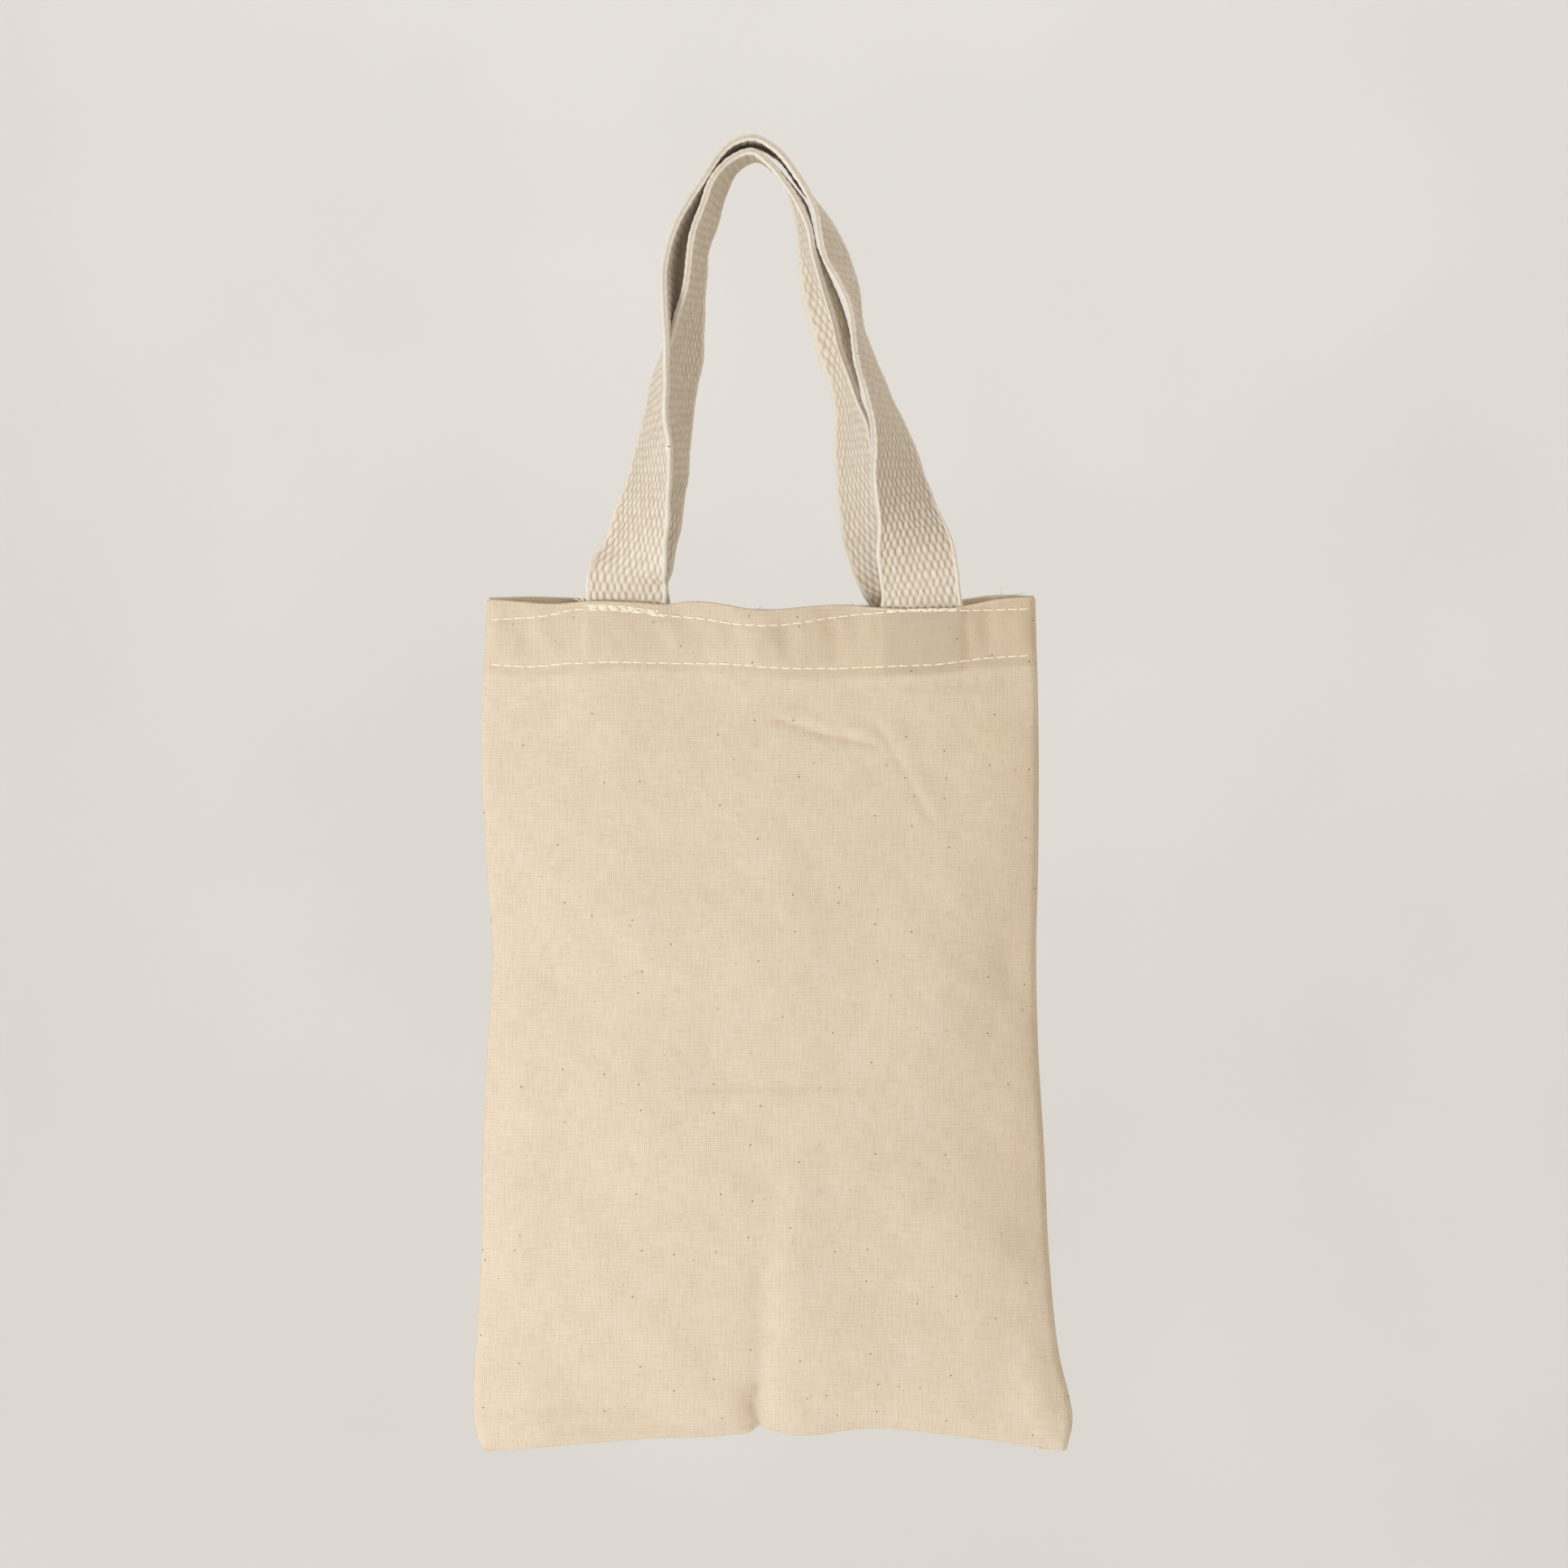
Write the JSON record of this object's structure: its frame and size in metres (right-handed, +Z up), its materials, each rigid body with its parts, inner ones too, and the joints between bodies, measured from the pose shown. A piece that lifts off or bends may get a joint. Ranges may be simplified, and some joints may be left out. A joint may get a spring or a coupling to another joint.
{
  "type": "canvas tote bag",
  "caption": "Plain natural canvas tote bag hanging from its two webbing handles, with a stitched hem and side seams.",
  "frame": {"origin": "where the inner handle rests on whatever holds the bag up: the underside of the inner loop at its top", "axes": "+Z up, front of the bag faces -Y, +X to the right as seen from the front"},
  "size_m": [0.1831, 0.0395, 0.4046],
  "materials": {
    "canvas": "plain woven natural cotton canvas, matte",
    "webbing": "heavy cotton webbing, matte",
    "thread": "cream sewing thread"
  },
  "bodies": {
    "bag": {"front_panel": "canvas", "back_panel": "canvas", "front_handle_end_left": "webbing", "front_handle_end_right": "webbing", "back_handle_end_left": "webbing", "back_handle_end_right": "webbing", "front_hem_stitch_upper": "thread", "front_hem_stitch_lower": "thread", "back_hem_stitch_upper": "thread", "back_hem_stitch_lower": "thread", "front_handle_tack_left": "thread", "front_handle_tack_right": "thread", "back_handle_tack_left": "thread", "back_handle_tack_right": "thread", "left_seam_thread": "thread", "right_seam_thread": "thread", "bottom_seam_thread": "thread", "left_overlock_thread": "thread", "right_overlock_thread": "thread", "bottom_overlock_thread": "thread"},
    "front_handle": {"front_handle": "webbing"},
    "back_handle": {"back_handle": "webbing"}
  },
  "joints": [
    {"name": "front_handle_flop", "type": "hinge", "parent": "bag", "child": "front_handle", "pos_m": [0.008, -0.0057, -0.127], "axis": [1, 0, 0], "range_deg": [0, 120]},
    {"name": "back_handle_flop", "type": "hinge", "parent": "bag", "child": "back_handle", "pos_m": [0.0067, 0.0058, -0.127], "axis": [-1, 0, 0], "range_deg": [0, 120]}
  ]
}
